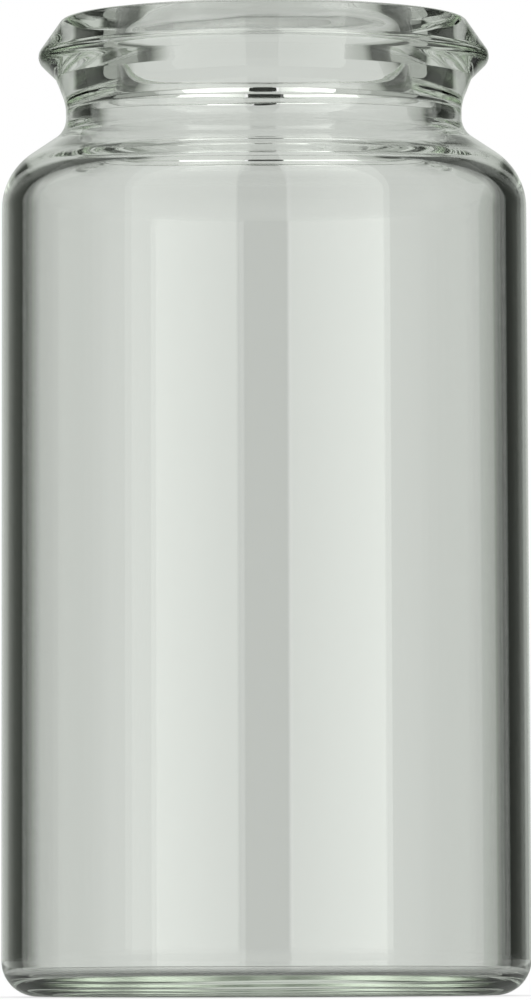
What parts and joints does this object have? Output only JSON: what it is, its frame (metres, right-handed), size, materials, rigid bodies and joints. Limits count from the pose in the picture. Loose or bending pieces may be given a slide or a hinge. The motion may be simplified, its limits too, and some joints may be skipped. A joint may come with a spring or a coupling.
{
  "type": "glass sample vial",
  "caption": "Short wide-mouthed clear glass vial with a round shoulder, a short waisted neck and a wedge-shaped bead lip for a snap cap.",
  "frame": {"origin": "centre of the underside of the base", "axes": "+Z along the vial's axis towards its mouth; the vial is round, so +X and +Y are alike"},
  "size_m": [0.026, 0.026, 0.048],
  "materials": {
    "glass": "clear colourless glass, faintly green where it is thick, smooth and fire-polished, with fine forming marks in the neck"
  },
  "bodies": {
    "root": {"vial": "glass"}
  },
  "joints": []
}
